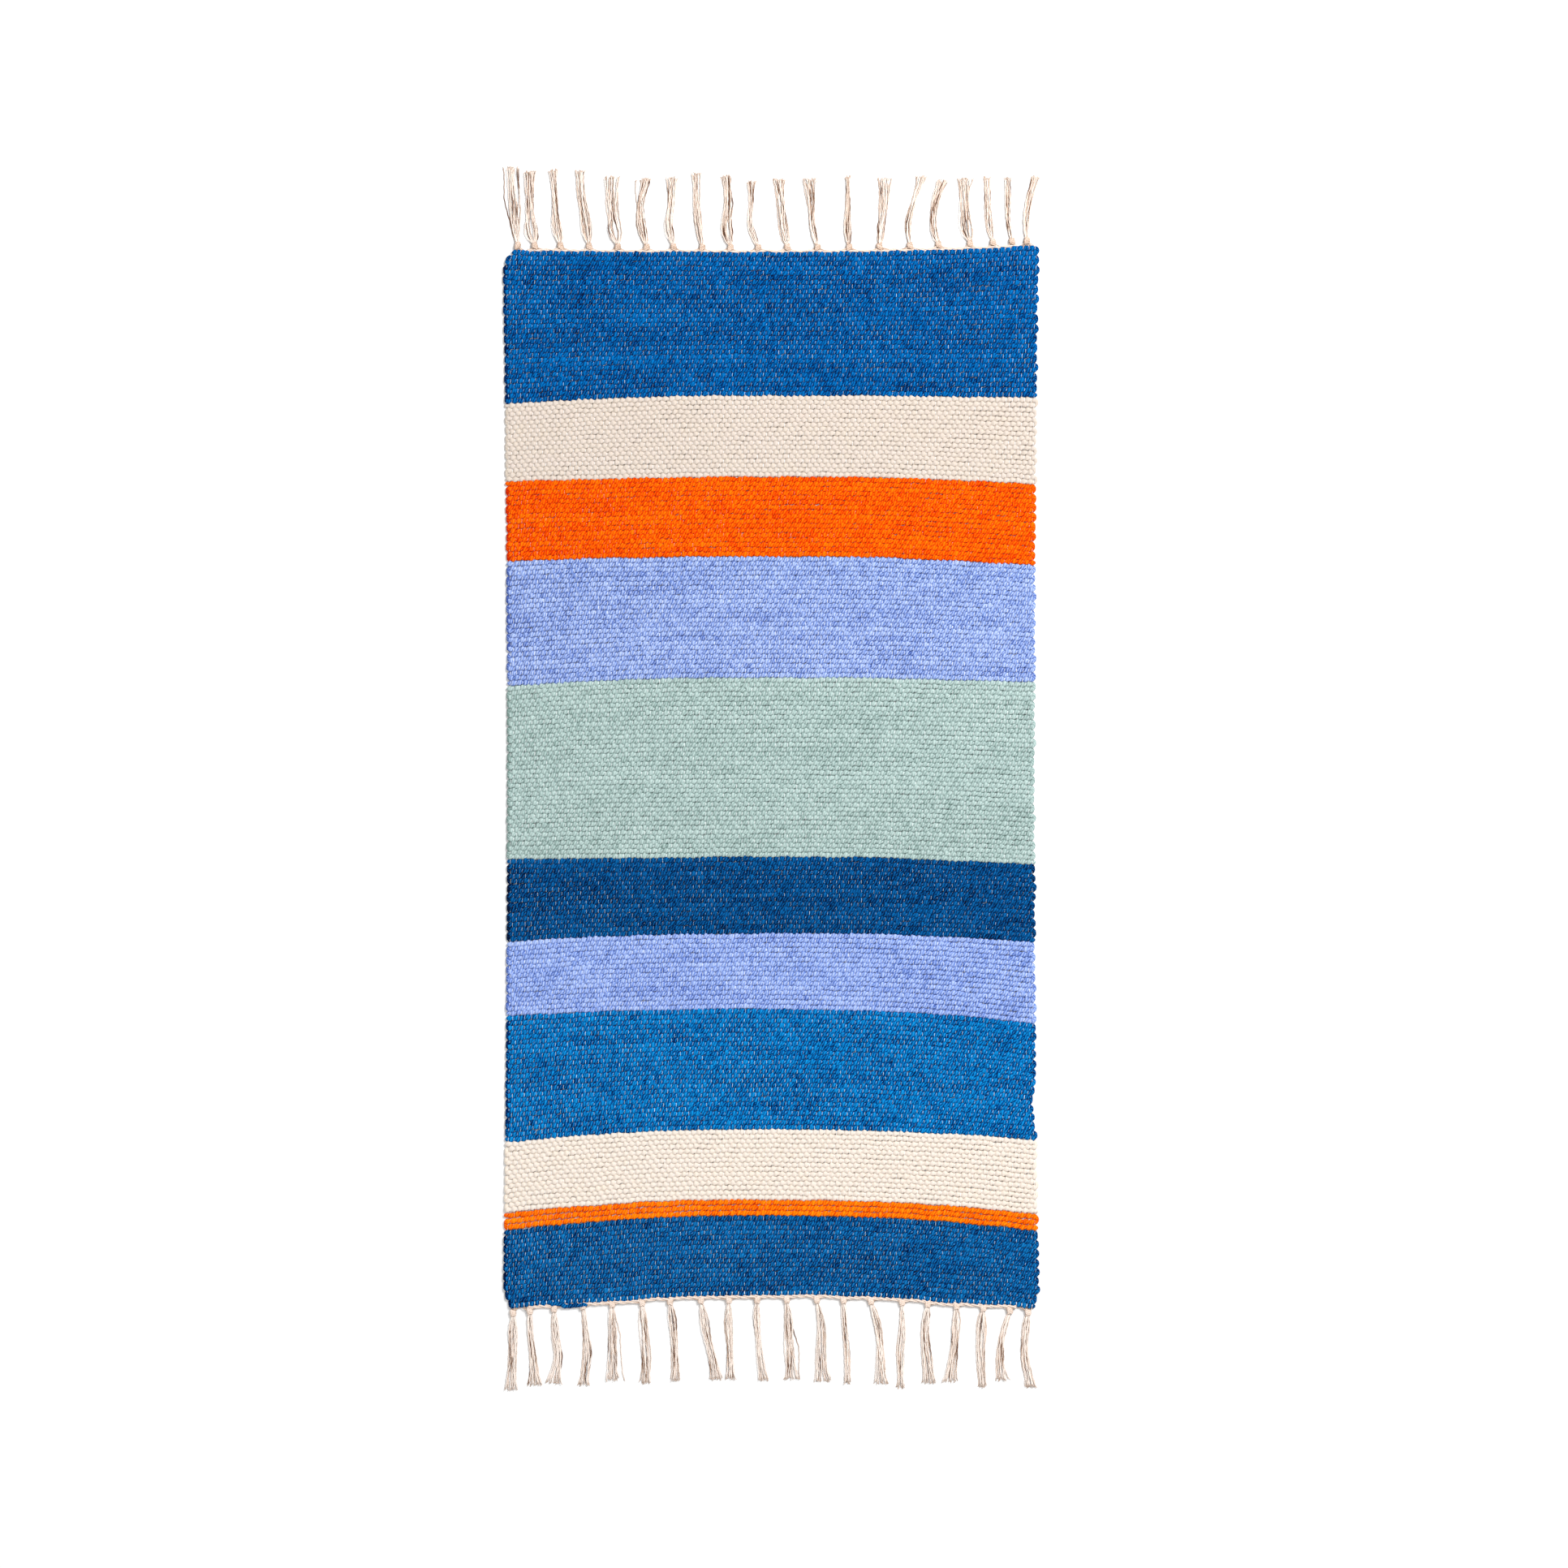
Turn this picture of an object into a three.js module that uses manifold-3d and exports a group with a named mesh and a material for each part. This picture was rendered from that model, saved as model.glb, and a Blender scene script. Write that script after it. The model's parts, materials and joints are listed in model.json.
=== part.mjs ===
// Runner rug: eleven flat-woven weft bands between two knotted fringes.
// Millimetres. +X runs across the rug, +Y along it towards the far end, +Z up from the floor.
import * as THREE from "three";
import { mergeVertices } from "three/addons/utils/BufferGeometryUtils.js";
import Module from "manifold-3d";

const wasm = await Module();
wasm.setup();

// ---- driving dimensions ----
const THICKNESS = 6; // of the woven cloth
const HALF_WIDTH = 347; // at mid-length
const END_FLARE = 5.5; // how much further out each selvedge stands at the two ends
const ARCH_POWER = 2.2; // how a seam bends away from its middle towards the selvedges
const GAP = 0.3; // between neighbouring pieces
const SEAM_STEPS = 12;
const SELVEDGE_STEPS = 4;

// Seams between the bands, far end first: y at the middle, and how far each seam is off that y
// where it meets the left and the right selvedge. The weft was beaten in slightly arched.
const SEAMS = [
  { y: 691.5, left: 3, right: 10 },
  { y: 503.5, left: -11.5, right: -3 },
  { y: 396.5, left: -7, right: -9.5 },
  { y: 292, left: -7, right: -12.5 },
  { y: 132.5, left: -10.5, right: -5.5 },
  { y: -103, left: -3, right: -10.5 },
  { y: -203, left: -11.5, right: -11.5 },
  { y: -302.5, left: -10, right: -19.5 },
  { y: -460, left: -18, right: -15.5 },
  { y: -553, left: -17.5, right: -19 },
  { y: -574, left: -21, right: -21 },
  { y: -678.5, left: -18.5, right: -17.5 },
];

const FAR_EDGE = SEAMS[0];
const NEAR_EDGE = SEAMS[SEAMS.length - 1];

const BANDS = [
  { name: "royal_blue", colour: 0x0f5a9c },
  { name: "cream", colour: 0xe6d8cb },
  { name: "orange", colour: 0xf96106 },
  { name: "periwinkle", colour: 0x96ade6 },
  { name: "sage", colour: 0xacc4bf },
  { name: "navy", colour: 0x10487e },
  { name: "periwinkle", colour: 0x92a9e5 },
  { name: "royal_blue", colour: 0x1669ab },
  { name: "cream", colour: 0xeee2d6 },
  { name: "orange", colour: 0xfa720c },
  { name: "deep_blue", colour: 0x17558f },
];

const CORD_COLOUR = 0xe4d6ca;
const CLOTH_ROUGHNESS = 0.95;

// How far the corners of the cloth are cut back, across the rug and then along it; seam is for
// the corners where two bands meet.
const CORNERS = {
  seam: [1, 1],
  farLeft: [16, 18],
  farRight: [3, 6],
  nearLeft: [11, 24],
  nearRight: [7, 20],
};

// Past each end, the warp ends are drawn sideways into overhand knots.
const HEADER_WIDTH = 2.6;
const HEADER_HEIGHT = 3;
const HEADER_END = 341; // half the header's length
const KNOT_STANDOFF = 6; // from the end of the cloth to a knot's centre
const KNOT_RADIUS = 4.5;
const KNOT_SIDES = 8;
const KNOT_RINGS = 5;

// Each tassel leaves its knot flat on the floor, and folds back at one line along each fringe.
const TASSEL_HEIGHT = 4.5;
const FAR_FOLD_Y = 712.5;
const NEAR_FOLD_Y = -708;
const FOLD_CLEARANCE = 1;
const TASSEL_STEPS = 7;
const NECK_STEPS = 2; // of the short stretch between a knot and the fold line
const ROOT_WIDTH = 5; // of a tassel inside its knot
const SWAY_AT = [0, 1 / 3, 2 / 3, 1];
const WIDTH_AT = [0, 1 / 6, 1 / 2, 1];

// One row a tassel, left to right: its knot's x, the y that its tip reaches, how far it sways
// sideways at a third, at two thirds and at the tip, and its width near the knot, midway and at
// the tip.
const FAR_TASSELS = [
  [-333, 803, [-5, -7, -9], [10, 14, 8]],
  [-310.5, 798, [-5.5, -6, -6.5], [17, 12, 12]],
  [-276.5, 800, [-6, -7.5, -9.5], [13, 9, 9.5]],
  [-239, 799, [-4, -10, -11.5], [14, 11.5, 12.5]],
  [-201.5, 791, [-5, -7.5, -8.5], [17, 15, 18]],
  [-163.5, 788, [-7, -8.5, 0.5], [11.5, 10, 11.5]],
  [-128, 790, [-6, -3, -2.5], [11.5, 10, 11]],
  [-90.5, 795.5, [-5, -7.5, -8.5], [10, 10.5, 10.5]],
  [-53.5, 792, [-4.5, -3, -4], [13.5, 13, 9.5]],
  [-17, 785, [-10, -9, -9], [8.5, 8, 10.5]],
  [21.5, 788, [-5.5, -8, -11.5], [13.5, 11.5, 14]],
  [61, 788, [-6.5, -8, -10.5], [8.5, 10.5, 17]],
  [102.5, 791, [-2.5, -1, -1.5], [10, 8, 7]],
  [142.5, 789, [2.5, 5.5, 6.5], [11, 12.5, 16]],
  [182.5, 791, [-2.5, 5.5, 15.5], [8, 7.5, 11.5]],
  [220, 786.5, [-7.5, -4.5, 5], [10, 9, 11]],
  [261.5, 788, [-6, -8.5, -7], [14, 14, 16]],
  [291.5, 790, [-5.5, -6, -8], [10.5, 10, 8]],
  [316.5, 789, [-5, -5, -6], [7, 8, 6.5]],
  [336, 791, [-1.5, 4, 11], [8.5, 9, 10.5]],
];

const NEAR_TASSELS = [
  [-339, -803, [-0.5, -1, -1.5], [11, 11.5, 16]],
  [-317, -796.5, [1, 4.5, 5.5], [8, 9.5, 18]],
  [-285, -794, [1, 6, -0.5], [9, 10, 19]],
  [-247.5, -796.5, [4.5, 5, 1], [8, 11.5, 12.5]],
  [-209, -790, [0.5, 0.5, 0.5], [10.5, 10, 14.5]],
  [-169.5, -794, [3, 5.5, 4.5], [11, 11.5, 12]],
  [-132.5, -790, [3.5, 6, 6.5], [10.5, 10, 10.5]],
  [-92, -789, [5.5, 13, 19], [11, 10.5, 13.5]],
  [-55.5, -788, [0, 1.5, 2.5], [11, 11, 11]],
  [-18, -790.5, [0, 3, 8], [10.5, 8.5, 10]],
  [20.5, -789, [2, 4.5, 5], [11, 13, 16]],
  [60, -792, [6, 6.5, 9], [11, 14.5, 19]],
  [95, -794, [3, 4.5, 5.5], [7.5, 9, 7.5]],
  [131, -794, [9, 13, 14], [9, 10.5, 15.5]],
  [172, -799.5, [0.5, -2, -1.5], [8, 10.5, 10]],
  [206, -794, [-4, -1.5, 2.5], [12, 13.5, 16]],
  [243.5, -792, [-0.5, -4.5, -8.5], [12, 10.5, 17.5]],
  [278.5, -798.5, [-2.5, -3, -0.5], [11.5, 15, 7]],
  [313.5, -790, [-9.5, -12, -10.5], [8, 8.5, 15]],
  [337.5, -798.5, [-4.5, -3.5, 4], [10.5, 12, 11.5]],
];

const rug = new THREE.Group();

// ---- shared shapes ----
function halfWidth(y) {
  return HALF_WIDTH + END_FLARE * (y / FAR_EDGE.y) ** 2;
}

function seamY(seam, x) {
  const side = x < 0 ? seam.left : seam.right;
  return seam.y + side * Math.abs(x / HALF_WIDTH) ** ARCH_POWER;
}

/** A closed prism: the outline [[x, y], ...] extruded up from the floor. */
function prism(outline, height) {
  const shape = new THREE.Shape(outline.map(([x, y]) => new THREE.Vector2(x, y)));
  return new THREE.ExtrudeGeometry(shape, { depth: height, bevelEnabled: false });
}

function solid(geometry) {
  const plain = geometry.clone();
  plain.deleteAttribute("normal");
  plain.deleteAttribute("uv");
  const merged = mergeVertices(plain);
  const vertProperties = new Float32Array(merged.attributes.position.array);
  const triVerts = new Uint32Array(merged.index.array);
  return new wasm.Manifold(new wasm.Mesh({ numProp: 3, vertProperties, triVerts }));
}

function geometryOf(manifold) {
  const mesh = manifold.getMesh();
  const geometry = new THREE.BufferGeometry();
  geometry.setAttribute("position", new THREE.BufferAttribute(mesh.vertProperties, 3));
  geometry.setIndex(new THREE.BufferAttribute(mesh.triVerts, 1));
  geometry.computeVertexNormals();
  return geometry;
}

function addPiece(name, geometry, colour) {
  const material = new THREE.MeshStandardMaterial({
    color: colour,
    roughness: CLOTH_ROUGHNESS,
    metalness: 0,
  });
  const mesh = new THREE.Mesh(geometry, material);
  mesh.name = name;
  rug.add(mesh);
}

function numbered(n) {
  return String(n).padStart(2, "0");
}

// ---- woven bands ----
/** Points along a seam from x0 to x1, shifted along the rug by dy. */
function seamPoints(seam, x0, x1, dy) {
  const points = [];
  for (let i = 0; i <= SEAM_STEPS; i += 1) {
    const x = x0 + ((x1 - x0) * i) / SEAM_STEPS;
    points.push([x, seamY(seam, x) + dy]);
  }
  return points;
}

/** Points along a selvedge from y0 to y1; side is -1 for left and 1 for right. */
function selvedgePoints(y0, y1, side) {
  const points = [];
  for (let i = 0; i <= SELVEDGE_STEPS; i += 1) {
    const y = y0 + ((y1 - y0) * i) / SELVEDGE_STEPS;
    points.push([side * halfWidth(y), y]);
  }
  return points;
}

/** The outline of one band, counter-clockwise, with its corners cut back by [across, along] each. */
function bandOutline(far, near, [farLeft, farRight, nearRight, nearLeft]) {
  const farWidth = halfWidth(far.y);
  const nearWidth = halfWidth(near.y);
  const bottom = seamPoints(near, nearLeft[0] - nearWidth, nearWidth - nearRight[0], GAP / 2);
  const top = seamPoints(far, farWidth - farRight[0], farLeft[0] - farWidth, -GAP / 2);
  const right = selvedgePoints(bottom.at(-1)[1] + nearRight[1], top[0][1] - farRight[1], 1);
  const left = selvedgePoints(top.at(-1)[1] - farLeft[1], bottom[0][1] + nearLeft[1], -1);
  return [...bottom, ...right, ...top, ...left];
}

BANDS.forEach((band, i) => {
  const first = i === 0;
  const last = i === BANDS.length - 1;
  const cuts = [
    first ? CORNERS.farLeft : CORNERS.seam,
    first ? CORNERS.farRight : CORNERS.seam,
    last ? CORNERS.nearRight : CORNERS.seam,
    last ? CORNERS.nearLeft : CORNERS.seam,
  ];
  const outline = bandOutline(SEAMS[i], SEAMS[i + 1], cuts);
  addPiece(`band_${numbered(i + 1)}_${band.name}`, prism(outline, THICKNESS), band.colour);
});

// ---- fringes ----
function curveThrough(times, values) {
  const curve = new THREE.CubicInterpolant(times, values, 1, new Float64Array(1));
  return (t) => curve.evaluate(t)[0];
}

/** A stretch of a tassel from y0 to y1, seen from above. */
function tasselOutline([x, tipY, sways, widths], knotY, y0, y1, steps) {
  const sway = curveThrough(SWAY_AT, [0, ...sways]);
  const width = curveThrough(WIDTH_AT, [ROOT_WIDTH, ...widths]);
  const left = [];
  const right = [];
  for (let i = 0; i <= steps; i += 1) {
    const y = y0 + ((y1 - y0) * i) / steps;
    const t = (y - knotY) / (tipY - knotY);
    const middle = x + sway(t);
    left.push([middle - width(t) / 2, y]);
    right.push([middle + width(t) / 2, y]);
  }
  return [...left, ...right.reverse()];
}

function knot(x, y) {
  const ball = new THREE.SphereGeometry(1, KNOT_SIDES, KNOT_RINGS);
  ball.scale(KNOT_RADIUS, KNOT_RADIUS, THICKNESS / 2);
  ball.translate(x, y, THICKNESS / 2);
  return solid(ball);
}

/** The strip of gathered warp ends that runs along one end of the cloth. */
function header(edge, side) {
  const near = seamPoints(edge, -HEADER_END, HEADER_END, side * GAP);
  const far = seamPoints(edge, HEADER_END, -HEADER_END, side * (GAP + HEADER_WIDTH));
  return solid(prism([...near, ...far], HEADER_HEIGHT));
}

/** One end's fringe: the header with its knots as one piece, then every tassel. */
function addFringe(end, edge, foldY, tassels) {
  const side = Math.sign(edge.y);
  let knotRow = header(edge, side);
  tassels.forEach((tassel, i) => {
    const [x, tipY] = tassel;
    const knotY = seamY(edge, x) + side * KNOT_STANDOFF;
    const neckY = foldY - (side * FOLD_CLEARANCE) / 2;
    const skirtY = foldY + (side * FOLD_CLEARANCE) / 2;
    const neck = tasselOutline(tassel, knotY, knotY, neckY, NECK_STEPS);
    const skirt = tasselOutline(tassel, knotY, skirtY, tipY, TASSEL_STEPS);
    knotRow = knotRow.add(knot(x, knotY)).add(solid(prism(neck, TASSEL_HEIGHT)));
    addPiece(`${end}_tassel_${numbered(i + 1)}`, prism(skirt, TASSEL_HEIGHT), CORD_COLOUR);
  });
  addPiece(`${end}_knot_row`, geometryOf(knotRow), CORD_COLOUR);
}

addFringe("far", FAR_EDGE, FAR_FOLD_Y, FAR_TASSELS);
addFringe("near", NEAR_EDGE, NEAR_FOLD_Y, NEAR_TASSELS);

export default rug;
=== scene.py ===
"""Runner rug: every weft pick, warp end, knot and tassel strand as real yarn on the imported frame."""

import json
import math

import bpy
import numpy as np
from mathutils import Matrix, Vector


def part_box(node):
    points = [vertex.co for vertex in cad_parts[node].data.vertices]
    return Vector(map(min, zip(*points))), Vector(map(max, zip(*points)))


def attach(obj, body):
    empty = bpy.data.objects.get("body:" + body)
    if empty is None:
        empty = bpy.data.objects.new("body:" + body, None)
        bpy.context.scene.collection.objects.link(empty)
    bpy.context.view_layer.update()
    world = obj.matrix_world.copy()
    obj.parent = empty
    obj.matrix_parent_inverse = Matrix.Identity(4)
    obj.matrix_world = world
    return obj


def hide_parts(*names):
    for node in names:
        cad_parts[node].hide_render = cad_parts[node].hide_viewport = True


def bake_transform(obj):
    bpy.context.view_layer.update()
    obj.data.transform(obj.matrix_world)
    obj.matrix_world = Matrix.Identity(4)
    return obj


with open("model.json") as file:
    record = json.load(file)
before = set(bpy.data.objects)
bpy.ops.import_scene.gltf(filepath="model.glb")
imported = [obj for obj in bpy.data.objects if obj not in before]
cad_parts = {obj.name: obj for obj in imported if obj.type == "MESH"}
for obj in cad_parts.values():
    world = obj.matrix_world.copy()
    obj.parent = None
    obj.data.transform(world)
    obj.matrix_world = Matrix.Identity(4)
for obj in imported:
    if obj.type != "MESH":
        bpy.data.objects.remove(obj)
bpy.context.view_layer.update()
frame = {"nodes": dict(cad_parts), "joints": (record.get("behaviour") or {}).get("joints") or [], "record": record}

MM = 0.001
SEED = 20

# ---- the cloth ----
PICK_PITCH = 6.02 * MM  # from one weft pick to the next
WARP_ENDS = 172
HALF_WARP = 0.342  # half the width that the warp ends span, roughly
SELVEDGE_IN = 4.6 * MM  # from the outermost warp end to the selvedge
# a face of a band's solid is a side wall if its normal is no steeper than this
LEVEL = 0.5
# how squarely such a wall faces along or across the rug, at least: a band's far or near edge, a
# plain selvedge, and a selvedge with its cut corners
SEAM_WALL, PLAIN_WALL, CORNER_WALL = 0.8, 0.995, 0.25
# the right selvedge is pulled in at one place: where, over what length, and how far
PULLED_AT, PULLED_OVER, PULLED_IN = -432 * MM, 24 * MM, 5.5 * MM
# the near end sags at two places, left and right: over what width, and how far
SAGS_AT, SAGS_OVER, SAG = (-208 * MM, 235 * MM), 48 * MM, 2.8 * MM
# how far in from a cut corner its warp ends are drawn together, and how suddenly
SQUEEZE, SQUEEZE_POWER = 50 * MM, 1.6
# how far the warp ends stray sideways and the picks along the rug: in waves, in ripples, by luck
WARP_WAVE, WARP_LUCK = 0.3 * MM, 0.35 * MM
PICK_WAVE, PICK_RIPPLE, PICK_LUCK = 0.7 * MM, 0.8 * MM, 0.28 * MM
CLOTH_MID = 2.98 * MM  # height of the cloth's middle

# ---- the weft ----
# half the width of a pick where it crosses over a warp end, under one, and between two of them
OVER_WIDTH, UNDER_WIDTH, NECK_WIDTH = 4.0 * MM, 3.25 * MM, 3.0 * MM
PAD_LUCK = 0.065  # how much the pads differ in width
# heights of a pick's face above the cloth's middle: on a pad, beside the dent that the next warp
# end makes in it, and in that dent where the warp shows, or doesn't
PAD_TOP, SHOULDER, OPEN_DENT, SHUT_DENT = 2.45 * MM, 1.55 * MM, 0.35 * MM, 0.45 * MM
PAD_DIP = 0.04  # how much lower a pad gets towards its ends
TWIST_LEAN = 0.35 * MM  # the twist of the yarn sets each pad askew
WEFT_SIDES = 8
PER_CROSSING = 3  # stations along a pick from one warp end to the next
TURN_STEPS = 5
TURN_WIDTH, TURN_HEIGHT = 2.5 * MM, 1.6 * MM  # half those of a pick that turns round the selvedge
# the left selvedge is pulled straight and the right one is slack: how square its turns are, how far
# they swell along the edge, by how much they differ, and how much painted shade darkens them, most on
# the left, which faces away from the key light
LEFT_TURN, RIGHT_TURN = (0.15, 2.3 * MM, 0.3 * MM, 0.5), (0.8, 0.5 * MM, 1.3 * MM, 0.1)
# the end of the last pick lies along the near edge: from where to where, how far out, its half
# width and height, and how high its middle lies
STRAY_END = -291 * MM, -241 * MM
STRAY_OUT, STRAY_WIDTH, STRAY_HEIGHT, STRAY_MID = 6.0 * MM, 3.4 * MM, 2.0 * MM, 4.2 * MM
STRAY_STEPS = 40
PLIES = 3
PLY_PITCH = 10.5 * MM  # one turn of the plies in the weft
PLY_DEPTH = 0.045

# ---- the warp ----
WARP_RADIUS = 0.62 * MM
WARP_SIDES = 4
WARP_BURIED = 0.25  # how thin it is drawn where the weft hides it
WARP_LIFT = 1.35 * MM  # how high a warp end that shows rides over a pick
LIFT_BURIED = 0.1  # and one that doesn't, as a share of that
# how unevenly it shows: in patches, in runs along a pick, by luck
SHOW_DRIFT, SHOW_ROWS, SHOW_LUCK = 0.3, 0.3, 0.35
NEAR_EDGE_SHOW = 0.75  # how far the warp ends show over the last pick
TICK_HALF = 1.15 * MM  # half the length of warp that lies level on top of a pick
FOLD_HALF = 8 * MM  # the cloth bends over this far each side of its fold line

# ---- the fringes ----
STRAND_RADIUS = 0.62 * MM
STRAND_SIDES = 6
STRAND_STEPS = 42
STRANDS = 10, 15  # fewest and most in a tassel
STRANDS_DEEP = 1.7  # how many strands deep a tassel lies
# shares of a tassel's length: over which it spreads past its neck, and settles onto the floor
NECK_LENGTH, SETTLE_LENGTH = 0.13, 0.05
# where a gaping tassel is open, over what share of its length, and how wide at most
GAPE_AT, GAPE_OVER, GAPE_WIDTH = 0.22, 0.17, 0.6
FLARE, FLARE_OVER = 0.25, 0.1  # how much wider its tips fan out, over the last share of it
STRAY_PARTING = 0.3  # share of a tassel's length over which a loose strand leaves it
LAYERS = 3
LAYER_RISE = 1.15 * MM
CRIMP = 0.28 * MM  # how far a strand wavers, from having been woven
CRIMP_LENGTH = 12 * MM
TASSEL_NECK = 5 * MM  # a tassel's width where it leaves its knot
SMOOTHING = -6, -3, 0, 3, 6  # mm along a tassel over which its kinks are smoothed
FRAY_RADIUS = 0.3 * MM
FRAY_STEPS = 4
FRAY_LENGTH = 4.5 * MM
FRAY_FIBRES = -0.35, 0.0, 0.35  # mm beside a strand's middle
FRAY_SIDES = 4
KNOT_TALL = 5.2 * MM  # knot tops in the CAD stand higher than anything else there
KNOT_APART = 6 * MM  # and further apart than this
KNOT_SPAN = 4.2 * MM  # half of a knot's width, to the middle of its outermost cord
KNOT_RISE = 1.6 * MM
KNOT_CORD = 1.3 * MM
KNOT_PITCH = 1.7 * MM  # from one cord round a knot to the next
KNOT_STEPS = 20
# the cords round a knot: how many, how far out from its middle in mm, how big, and how aslant
KNOT_COILS = (4, -0.5, 1.0, 1.0), (2, 2.0, 0.78, -0.8)
GATHER_RADIUS = 0.7 * MM
GATHER_STEPS = 12
GATHER_SIDES = 5
STRIP_STEPS = 420
STRIP_PITCH = 37 * MM  # one turn of the strip's three twisted cords

# ---- shading ----
PROUD = 2.3  # mm from the crease line at which the painted crease shade has faded and yarn gets its full tone
YARN_GIRTH = 16 * MM
TWIST_ANGLE = math.atan2(YARN_GIRTH, PLY_PITCH)
PLY_SPACING = PLY_PITCH / PLIES * math.sin(TWIST_ANGLE)
WAVE_UNIT = math.pi / 10  # a wave texture's period at scale 1
WEFT_PLY_SHADE, CORD_PLY_SHADE = 0.7, 0.15  # how much painted shade darkens the yarn in the grooves between its plies
STREAK = 1.7  # how much its fibres differ in shade
DARK_STOP = 0.3  # the tone at which yarn has its dark shade
CREASE_SHADE = 0.25  # how much painted shade darkens the weft down in its creases
WEFT_FIBRE, WARP_FIBRE, FRINGE_FIBRE = 900, 1800, 1300  # fibre streaks per metre round the yarn
FIBRE_LENGTH = 0.2  # streaks per metre along it, as a share of that
STRAY_RIM_SHADE, STRAND_RIM_SHADE, KNOT_RIM_SHADE = 0.2, 0.65, 0.5  # how much painted shade darkens a stray yarn, a strand and a knot cord along their sides
# shade of the cloth, 0 to 1, and how far it varies pick by pick, pad by pad, in streaks and drifts
CLOTH_TONE = 0.66
PICK_TONE, PAD_TONE, STREAK_TONE, DRIFT_TONE = 0.03, 0.12, 0.1, 0.02
HIDDEN_WARP_SHADE = 0.6  # tone of warp that is hidden down among the weft, with painted shade; what shows is lighter

BODY_FAR, BODY_NEAR = "far_field", "near_field"


def srgb(code):
    """A linear RGBA colour from a hex sRGB code such as "e6d8cb"."""
    values = [int(code[i : i + 2], 16) / 255 for i in (0, 2, 4)]
    linear = [v / 12.92 if v <= 0.04045 else ((v + 0.055) / 1.055) ** 2.4 for v in values]
    return (*linear, 1.0)


# node, record slot, the colour that the painted crease shade runs to (for the creams lighter than the yarn,
# painted light in the creases), its dark and light shades, how much warp shows
BANDS = [
    ("band_01_royal_blue", "royal_blue_weft", "001036", "002e6a", "026ab0", 0.135),
    ("band_02_cream", "cream_weft", "d4c6b7", "c8bcaf", "cec1b8", 0.3),
    ("band_03_orange", "orange_weft", "bb2300", "e03d00", "ed7104", 0.06),
    ("band_04_periwinkle", "periwinkle_weft", "3f5398", "6983c2", "a8b9e2", 0.28),
    ("band_05_sage", "sage_weft", "718983", "8fa5a2", "afc3bf", 0.28),
    ("band_06_navy", "navy_weft", "000924", "002353", "075c9a", 0.125),
    ("band_07_periwinkle", "periwinkle_weft", "425aa2", "6c87ca", "a6b9e8", 0.28),
    ("band_08_royal_blue", "royal_blue_weft", "001640", "003b7f", "0c87cb", 0.19),
    ("band_09_cream", "cream_weft", "e6d8c8", "dfd3c6", "e2d6cc", 0.3),
    ("band_10_orange", "orange_weft", "cc3800", "f05a00", "fc8a0c", 0.05),
    ("band_11_deep_blue", "deep_blue_weft", "000e32", "002d66", "1072b3", 0.16),
]


# ---- reading the frame ----
def wall_points(node, facing):
    """Plan points (x, y) of a node's side walls whose outward normal passes the test facing(nx, ny)."""
    mesh = frame["nodes"][node].data
    found = {
        (round(mesh.vertices[v].co.x, 6), round(mesh.vertices[v].co.y, 6))
        for p in mesh.polygons
        if abs(p.normal.z) < LEVEL and facing(p.normal.x, p.normal.y)
        for v in p.vertices
    }
    return np.array(sorted(found))


def line_over(points, across):
    """A function that follows points: y over x, or with across x over y."""
    key, value = (points[:, 1], points[:, 0]) if across else (points[:, 0], points[:, 1])
    order = np.argsort(key)
    key, value = key[order], value[order]
    return lambda at: np.interp(at, key, value)


def seam_lines():
    """Each band's far and near edge as functions of x."""
    return [
        (
            line_over(wall_points(node, lambda nx, ny: ny > SEAM_WALL), False),
            line_over(wall_points(node, lambda nx, ny: ny < -SEAM_WALL), False),
        )
        for node, *_ in BANDS
    ]


def selvedge_lines():
    """(left, right) as functions of y, first along the plain selvedges, then with the cut corners."""
    lines = []
    for limit in (PLAIN_WALL, CORNER_WALL):
        for side in (-1, 1):
            points = np.concatenate(
                [wall_points(n, lambda nx, ny: side * nx > limit) for n, *_ in BANDS]
            )
            lines.append(line_over(points, True))
    return lines[:2], lines[2:]


def joint(name):
    return next(j for j in frame["joints"] if j["name"] == name)


# ---- noise ----
def field(seed, cell, reach=(0.5, 1.0)):
    """Soft noise from -1 to 1 over the floor, with a new random value every cell."""
    steps = [int(2 * r / cell) + 3 for r in reach]
    grid = np.random.default_rng(seed).uniform(-1, 1, steps)

    def at(x, y):
        gx, gy = (x + reach[0]) / cell, (y + reach[1]) / cell
        x0, y0 = np.floor(gx).astype(int), np.floor(gy).astype(int)
        fx, fy = gx - x0, gy - y0
        fx, fy = fx * fx * (3 - 2 * fx), fy * fy * (3 - 2 * fy)
        low = grid[x0, y0] * (1 - fx) + grid[x0 + 1, y0] * fx
        high = grid[x0, y0 + 1] * (1 - fx) + grid[x0 + 1, y0 + 1] * fx
        return low * (1 - fy) + high * fy

    return at


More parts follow.
